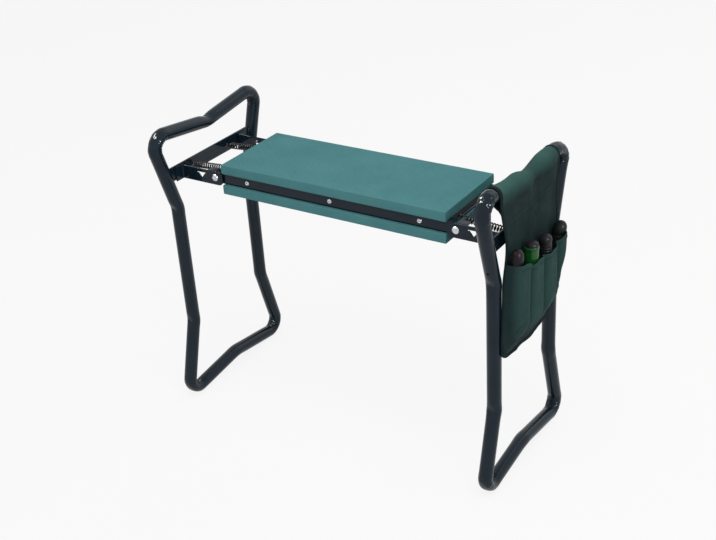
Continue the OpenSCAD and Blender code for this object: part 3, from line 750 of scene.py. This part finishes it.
def cloth_piece(name, surface, rows, columns, cad_node):
    """A sheet of the pouch's cloth along a surface, with its real thickness."""
    points = [surface(i / rows, j / columns) for i in range(rows + 1) for j in range(columns + 1)]
    piece = make_piece(name, points, grid_faces(rows + 1, columns + 1), cloth, "right_frame", "pouch_cloth")
    thick = piece.modifiers.new("thickness", "SOLIDIFY")
    thick.thickness = cloth_t / 1000
    thick.offset = 0
    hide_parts(cad_node)
    return piece


back_panel = cloth_piece("back_panel", across_panel, 190, 96, "pouch_panel")

# Tool pouch, pockets. A second piece of the same cloth is pleated over the tools and sewn
# to the panel at its sides, its bottom and between the four pockets. Its mouth is hemmed.
mouth_h, mouth_rise, mouth_rear = 350.0, 20.0, 7.0
mouth_slope, mouth_even, mouth_sag = 92.0, 14.0, 5.5
pocket_d, pocket_w, pocket_h = 23.2, pouch_w / 4, 125.0
sag_at, sag_wide, rear_from, rear_over = 0.9 * pocket_w, 15.0, 0.7 * pocket_w, 30.0
sewn_gap, corner_join = 1.5, 4.0
hem_fold, hem_proud = 8.0, 0.6
# The rear side's slope at the hem, and from what heights it grows, over what, by how much
hem_slope, side_slopes = 0.38, [(268, 32, 0.12), (296, 56, 0.55)]
# The corner's crease: a place on it, its slant, and how wide the cloth turns back
fold_y, fold_z, fold_way, fold_up, facet_w = -90.0, 230.0, 0.9, 0.42, 9.0


def mouth_z(y):
    """The mouth falls from the front to the middle, sags behind the first tool, and rises at the rear."""
    front = max(0, min(1, (mouth_even - y) / mouth_slope))
    sag = mouth_sag * hump((y + sag_at) / sag_wide)
    return mouth_h + mouth_rise * front + mouth_rear * soft_step((y - rear_from) / rear_over) - sag


def seam_at(y, sharp):
    """1 on a seam between two pockets, and 0 in the middle of a pocket and at the sides."""
    return abs(math.cos(math.pi * y / pocket_w)) ** sharp if abs(y) < 1.5 * pocket_w else 0.0


def pocket_stand(y, z):
    """How far the pockets stand off the panel: fully, or less where the rear side slants."""
    at, up = y / (pouch_w / 2), z - hem_z(y)
    square = 4 + 12 * soft_step((up - 20) / 90) if at > 0 else 28
    steep, slow = soft_step(up / 58), max(0, min(1, up / 95)) ** 0.75
    low = steep + (slow - steep) * soft_step((at - 0.55) / 0.4)
    drawn = 0.17 * seam_at(y, 6) + 0.16 * seam_at(y, 26) * soft_step((up - 12) / 40)
    full = pocket_d * low * (1 - abs(at) ** square) * (1 - drawn) * (1 - corner_fold(y, z))
    side = rear_side(z) * (pouch_w / 2 - y)
    rounded = max(0, corner_join - abs(full - side)) ** 2 / (4 * corner_join)
    return min(full, side) - rounded


def rear_side(z):
    """How steeply the rear side stands up round the last tool: less and less towards the hem."""
    return hem_slope + sum(more * soft_step((z - start) / over) for start, over, more in side_slopes)


def corner_fold(y, z):
    """The empty front bottom corner is folded back along a slanting crease."""
    behind = (z - fold_z) * fold_up - (y - fold_y) * fold_way
    low = 1 - soft_step((z - 244) / 16)
    facet = (0.3 + 0.45 * low) * min(1, max(0, behind / facet_w))
    return (facet + (0.08 + 0.2 * low) * hump(behind / 2.4)) * (1 - soft_step((z - 270) / 18))


def pocket_point(v, u):
    """The pockets' middle surface: v is 0 at the hem and 1 at the mouth, u runs from front to rear."""
    s = 2 * u - 1
    # The columns stand closer together towards the sides, where the cloth turns in sharply
    y = math.copysign(1 - (1 - abs(s)) ** 1.5, s) * pouch_w / 2
    mouth = mouth_z(y) - 1.6 * seam_at(y, 4)
    z = hem_z(y) + (mouth - hem_z(y)) * v
    hemmed = hem_proud * soft_step((z - mouth + hem_fold) / 0.9 + 0.5)
    out = wrap_r + hanging_folds(y, z, 0.45) + sewn_gap + pocket_stand(y, z) + hemmed
    return Vector((loop_x + out, hung_y(y, z), z))


pockets = cloth_piece("pockets", pocket_point, 96, 128, "pouch_pockets")

# Tool pouch, binding. A dark woven tape is folded over the raw edges of both pieces of
# cloth and sewn on, down one side, along the bottom and up the other side.
bind_w, bind_t = 6.0, 1.15
side_marks, hem_marks, panel_drop = 150, 90, 250.0
binding = Finish("binding", 0.8, specular=0.05)
binding.mottle(binding.grain(6, 3.0), (0.009, 0.018, 0.018), (0.015, 0.029, 0.028))
binding.relief(binding.grain(0.9), 0.15)


def bound_edge():
    """The pouch's edge as (v, y) pairs: down the front side, along the hem and up the rear side."""
    half = pouch_w / 2
    downward = [(k / side_marks, -half) for k in range(side_marks + 1)]
    along = [(1.0, -half + pouch_w * k / hem_marks) for k in range(1, hem_marks)]
    return downward + along + [(v, half) for v, _ in reversed(downward)]


def bind_sections():
    """For each point of the edge: the edge itself, the way into the cloth, and outward from it."""
    edge = bound_edge()
    half, inset = pouch_w / 2 - bind_w, bind_w / panel_drop
    sections = []
    for i, (v, y) in enumerate(edge):
        at = panel_point(v, y)
        inner = panel_point(min(v, 1 - inset), max(-half, min(half, y)))
        before, after = panel_point(*edge[max(0, i - 1)]), panel_point(*edge[min(len(edge) - 1, i + 1)])
        out = (after - before).cross(inner - at).normalized()
        over_pocket = 0.0
        if v > wrap_end:
            over_pocket = (sewn_gap + cloth_t / 2) * soft_step((mouth_z(y) - at.z) / 5)
        sections.append((at, inner - at, out, bind_t + over_pocket))
    return sections


tape_shape = [(-0.12, 0.0), (-0.05, 0.6), (0.1, 0.95), (0.5, 1.0), (0.95, 0.97), (1.0, 0.7),
              (1.0, -0.7), (0.95, -0.97), (0.5, -1.0), (0.1, -0.95), (-0.05, -0.6)]
edge_sections = bind_sections()
tape_points = []
for at, inward, out, front_t in edge_sections:
    for across, proud in tape_shape:
        tape_points.append(at + inward * across + out * proud * (front_t if proud > 0 else bind_t))
tape_faces = grid_faces(len(edge_sections), len(tape_shape), close_columns=True)
tape_faces += end_faces(len(tape_shape), len(tape_points))
bound = make_piece("edge_binding", tape_points, tape_faces, binding, "right_frame", "pouch_cloth")

# Tool pouch, thread. Rows of lockstitch hold the binding, the hem of the mouth, the seams
# between the pockets and the hook-and-loop tape. Each stitch shows as a short raised bar.
stitch_l, stitch_pitch, thread_r = 2.7, 4.0, 0.28
stitch_shape = [(0, -0.3), (0.15, 0.18), (0.85, 0.18), (1, -0.3)]
bind_row, beside = 0.72, 0.004
thread = Finish("thread", 0.8, specular=0.05)
thread.mottle(thread.grain(2), (0.012, 0.026, 0.026), (0.020, 0.042, 0.042))
thread.relief(thread.grain(0.4), 0.05)


def stitch_row(line):
    """Stitches along (point, outward) pairs, as shapes to join."""
    shapes, runs = [], [0.0]
    for (a, _), (b, _) in zip(line, line[1:]):
        runs.append(runs[-1] + (b - a).length)

    def place(run, lift):
        i = max(1, next((k for k, r in enumerate(runs) if r >= run), len(runs) - 1))
        t = (run - runs[i - 1]) / max(1e-6, runs[i] - runs[i - 1])
        return line[i - 1][0].lerp(line[i][0], t) + line[i - 1][1].lerp(line[i][1], t) * lift

    at = 1.0
    while at + stitch_l < runs[-1]:
        path = [place(at + stitch_l * share, lift) for share, lift in stitch_shape]
        shapes.append(sweep(path, [thread_r] * len(path), 6))
        at += stitch_pitch
    return shapes


def sewn(name, rows):
    """Rows of stitches as one piece."""
    return make_piece(name, *joined(*rows), thread, "right_frame", "pouch_cloth")


def on_cloth(surface, v, u):
    """A point on the outer face of the pockets or the panel, and the way out of it."""
    across = surface(v, u + beside) - surface(v, u - beside)
    out = across.cross(surface(v + beside, u) - surface(v - beside, u)).normalized()
    out = out if out.x > 0 else -out
    return surface(v, u) + out * cloth_t / 2, out


bind_rows, panel_rows, pocket_rows = [], [], []
for face in (1, -1):
    line = [(at + inward * bind_row + out * face * (front_t if face > 0 else bind_t), out * face)
            for at, inward, out, front_t in edge_sections]
    bind_rows += stitch_row(line)
row_marks, row_ends = 80, 0.06
for strip_z in (421.0, 430.0):
    line = []
    for k in range(row_marks + 1):
        u = row_ends + (1 - 2 * row_ends) * k / row_marks
        y = pouch_w * (u - 0.5)
        v = wrap_end + (1 - wrap_end) * (top_z(y) - strip_z) / (top_z(y) - hem_z(y))
        line.append(on_cloth(across_panel, v, u))
    panel_rows += stitch_row(line)
mouth_marks, mouth_ends, stitch_down = 200, 0.09, 6.0
line = []
for k in range(mouth_marks + 1):
    u = mouth_ends + (1 - 2 * mouth_ends) * k / mouth_marks
    line.append(on_cloth(pocket_point, 1 - stitch_down / pocket_h, u))
pocket_rows += stitch_row(line)
seam_l = 0.87
for seam in (-1, 0, 1):
    share = 1 - 2 * abs(seam) * pocket_w / pouch_w
    u = 0.5 + math.copysign(0.5 * (1 - share ** (2 / 3)), seam) if seam else 0.5
    line = [on_cloth(pocket_point, row_ends + seam_l * k / row_marks, u) for k in range(row_marks + 1)]
    pocket_rows += stitch_row(line)
bind_thread = sewn("binding_thread", bind_rows)
panel_thread = sewn("panel_thread", panel_rows)
pocket_thread = sewn("pocket_thread", pocket_rows)

# Hook-and-loop tape. A black strip of hooks and loops, sewn between the flap and the
# panel, closes the pouch under the handle.
tape = Finish("tape", 0.95, specular=0.2)
tape.mottle(tape.grain(1.2, 3.0), (0.008, 0.008, 0.009), (0.022, 0.022, 0.024))
tape.relief(tape.grain(0.8, 4.0), 0.4)
strip_low, strip_h, strip_set, strip_marks = flap_low + 1, 14.0, 8.0, 60
strip_in, strip_out, strip_high = flap_in + 0.7, wrap_r - 0.4, strip_low + strip_h
strip_corners = [(strip_in, strip_low), (strip_out, strip_low),
                 (strip_out, strip_high), (strip_in, strip_high)]
strip = []
for k in range(strip_marks + 1):
    y = (pouch_w - 2 * strip_set) * (k / strip_marks - 0.5)
    for x, z in strip_corners:
        strip.append((loop_x + x, hung_y(y, z), z))
strip_faces = grid_faces(strip_marks + 1, len(strip_corners), close_columns=True)
strip_faces += end_faces(len(strip_corners), len(strip))
fastener = make_piece("fastener_tape", strip, strip_faces, tape, "right_frame", "hook_and_loop",
                      smooth=False)
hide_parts("pouch_fastener")

# Hand tools. Four small tools stand in the pockets with moulded grips showing: brown,
# green with a dark cap, black, and a green that is nearly black. The steel is in the pockets.
tool_steel = Finish("tool_steel", 0.35, metallic=1.0)
tool_steel.mottle(tool_steel.grain(5, 3.0), (0.33, 0.34, 0.35), (0.5, 0.5, 0.5))
tool_steel.dull(tool_steel.grain(2, 3.0, tool_steel.stretched(1, 1, 0.1)), 0.25, 0.45)
for node in ("trowel_blade", "fork_tines", "weeder_blade"):
    dress(node, tool_steel, 0.2)


def moulded(name, roughness, specular, blotch, dark, light, grain=1.2, grain_deep=0.06):
    """Moulded plastic, a little blotched, with the fine grain of its mould."""
    finish = Finish(name, roughness, specular=specular)
    finish.mottle(finish.grain(blotch), dark, light)
    finish.relief(finish.grain(grain), grain_deep)
    return finish


black_grip = moulded("black_grip", 0.42, 0.15, 20, (0.010, 0.009, 0.012), (0.020, 0.017, 0.022))
brown_grip = moulded("brown_grip", 0.42, 0.15, 16, (0.007, 0.005, 0.008), (0.015, 0.010, 0.014))
green_grip = moulded("green_grip", 0.25, 0.3, 14, (0.006, 0.085, 0.012), (0.013, 0.150, 0.022), 1.5, 0.05)
dark_green_grip = moulded("dark_green_grip", 0.42, 0.15, 18, (0.007, 0.011, 0.010), (0.014, 0.022, 0.018))

tool_x, grip_l, grip_sides = 304.5, 62.0, 48
rib_gap, rib_pitch, foot_round, sharp_rim = 1.6, 4.2, 0.4, math.radians(60)
# Each grip's outline, from its top down: how far below the top, and the radius. The belly is
# given in shares of the length that its end and its ribs leave
egg_end = [(0, 0.2), (0.3, 2.2), (1.2, 4.6), (2.8, 6.8), (5.2, 8.6), (8.2, 9.7), (11.5, 10.0), (15.5, 9.9)]
knob_end = [(0, 0.2), (0.25, 3.0), (0.9, 5.6), (2.1, 7.6), (4.0, 9.0), (6.5, 9.8), (9.5, 9.9),
            (12.5, 9.2), (14.2, 8.9)]
cap_shape = [(0, 0.2), (0.2, 3.2), (0.8, 5.8), (1.9, 7.8), (3.4, 9.0), (5.2, 9.7), (6.4, 9.8),
             (6.8, 9.2), (6.8, 3.0)]
collar_end = [(0, 0.2), (0, 9.0), (0.3, 10.1), (1.2, 10.4), (4.4, 10.4), (5.4, 10.1), (7.0, 10.0),
              (20.0, 9.9)]
rib_shape = [(0, 9.75), (0.8, 9.6), (1.4, 8.7), (2.2, 8.6), (2.8, 9.5)]
belly_shape = [(0, 9.7), (0.25, 9.3), (0.5, 9.0), (0.7, 9.2), (0.82, 8.6), (0.92, 7.2), (1, 6.3)]
steel_end = [(61.5, 0.2), (61.5, 5.5), (82.0, 1.5), (82.4, 0.2)]


def grip_outline(end, ribs):
    """A grip from top to bottom, with ribs grooved round it below its end, tapering to a neck."""
    outline = list(end)
    for k in range(ribs):
        top = end[-1][0] + rib_gap + rib_pitch * k
        outline += [(top + below, radius) for below, radius in rib_shape]
    belly = outline[-1][0] + 2
    length = grip_l - foot_round - belly
    outline += [(belly + length * share, radius) for share, radius in belly_shape]
    return outline + [(grip_l - foot_round, 0.2)]


def grip(name, cad_node, finish, slot, at_y, top, outline, oval=0.0, foot_in=(0, 0)):
    """Turns an outline into a grip, a little oval, whose foot leans in or sideways in its pocket."""
    points = []
    for below, radius in reversed(outline):
        for c, s in ring(grip_sides):
            x = tool_x + foot_in[0] * below / grip_l + radius * (1 - oval * c ** 2) * c
            y = at_y + foot_in[1] * below / grip_l + radius * s
            points.append((x, y, top - below))
    faces = grid_faces(len(outline), grip_sides, close_columns=True) + end_faces(grip_sides, len(points))
    piece = make_piece(name, points, faces, finish, "right_frame", slot)
    piece.data.set_sharp_from_angle(angle=sharp_rim)
    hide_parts(cad_node)


green_y, rear_y, rear_top, rear_foot = -28.25, 69.6, 371.48, (-4, -9)
grip("brown_handle", "trowel_grip", brown_grip, "brown_grip", -73.6, 391.0,
     grip_outline(egg_end, 0), oval=0.12, foot_in=(-1, 1.4))
grip("green_handle", "fork_grip", green_grip, "green_grip", green_y, 376.4, grip_outline(collar_end, 0))
grip("green_handle_cap", "fork_cap", black_grip, "black_grips", green_y, 383.0, cap_shape)
grip("ribbed_handle", "weeder_grip", black_grip, "black_grips", 17.2, 373.0,
     grip_outline(knob_end, 4), oval=0.08, foot_in=(0, 1))
grip("plain_handle", "dibber_grip", dark_green_grip, "black_grips", rear_y, rear_top,
     grip_outline(egg_end, 1), foot_in=rear_foot)
grip("dibber_steel", "dibber_point", tool_steel, "tool_steel", rear_y, rear_top,
     steel_end, foot_in=rear_foot)

# Floor and light. A pale floor in a white room, a large soft lamp high in front that lights but
# isn't mirrored, and a weak one behind. Three small lamps give only glints, as on the tubes' bends.
floor_reach = 14.0
corners = [(x * floor_reach, y * floor_reach, 0) for x, y in ((-1, -1), (1, -1), (1, 1), (-1, 1))]
floor_mesh = bpy.data.meshes.new("floor")
floor_mesh.from_pydata(corners, [], [(0, 1, 2, 3)])
floor = bpy.data.objects.new("floor", floor_mesh)
scene.collection.objects.link(floor)
pale = Finish("pale_floor", 0.9, specular=0.1)
pale.mottle(pale.grain(400), (0.86, 0.86, 0.86), (0.9, 0.9, 0.9))
rays = pale.add("ShaderNodeLightPath").outputs
seen = pale.sum(pale.sum(rays["Is Camera Ray"], rays["Is Glossy Ray"]), rays["Is Transmission Ray"])
glow = pale.add("ShaderNodeEmission", {"Color": (1, 1, 1, 1), "Strength": 1.0})
glow_share = pale.sum(seen, 0.86, "MULTIPLY")
mixed = pale.add("ShaderNodeMixShader", {"Fac": glow_share, 1: pale.shader.outputs[0], 2: glow.outputs[0]})
pale.tree.links.new(mixed.outputs[0], pale.tree.nodes["Material Output"].inputs["Surface"])
floor.data.materials.append(pale.material)

world = bpy.data.worlds.new("room")
scene.world = world
world.use_nodes = True
air = world.node_tree
light_path = air.nodes.new("ShaderNodeLightPath").outputs
background = air.nodes["Background"]
background.inputs["Color"].default_value = (1, 1, 1, 1)


def air_math(how, *inputs, clamp=False):
    """One sum in the room's own node tree."""
    node = air.nodes.new("ShaderNodeMath")
    node.operation, node.use_clamp = how, clamp
    for socket, value in zip(node.inputs, inputs):
        if isinstance(value, bpy.types.NodeSocket):
            air.links.new(value, socket)
        else:
            socket.default_value = value
    return node.outputs[0]


room_light = 0.40
seen_rays = air_math("ADD", light_path["Is Glossy Ray"], light_path["Is Transmission Ray"])
seen_rays = air_math("ADD", light_path["Is Camera Ray"], seen_rays, clamp=True)
strength = air_math("MULTIPLY_ADD", seen_rays, 1.0 - room_light, room_light)
air.links.new(strength, background.inputs["Strength"])
seat_middle = Vector((0, 0, 0.3))


def soft_lamp(name, at, size, watts):
    """A square lamp that looks at the middle of the kneeler."""
    lamp = bpy.data.objects.new(name, bpy.data.lights.new(name, "AREA"))
    lamp.data.shape = "SQUARE"
    lamp.data.size = size
    lamp.data.energy = watts
    lamp.location = at
    lamp.rotation_mode = "QUATERNION"
    lamp.rotation_quaternion = (Vector(at) - seat_middle).to_track_quat("Z", "Y")
    scene.collection.objects.link(lamp)
    return lamp


soft_lamp("main_lamp", (0.82, -0.82, 2.57), 2.2, 34).visible_glossy = False
soft_lamp("rear_lamp", (0.6, 2.2, 1.8), 2.0, 8)
glints = {"upper": (-0.55, -0.75, 2.4), "left": (-1.3, -0.35, 1.9), "right": (2.0, -0.32, 1.2)}
for place, at in glints.items():
    soft_lamp(f"{place}_glint_lamp", at, 0.5, 40).visible_diffuse = False
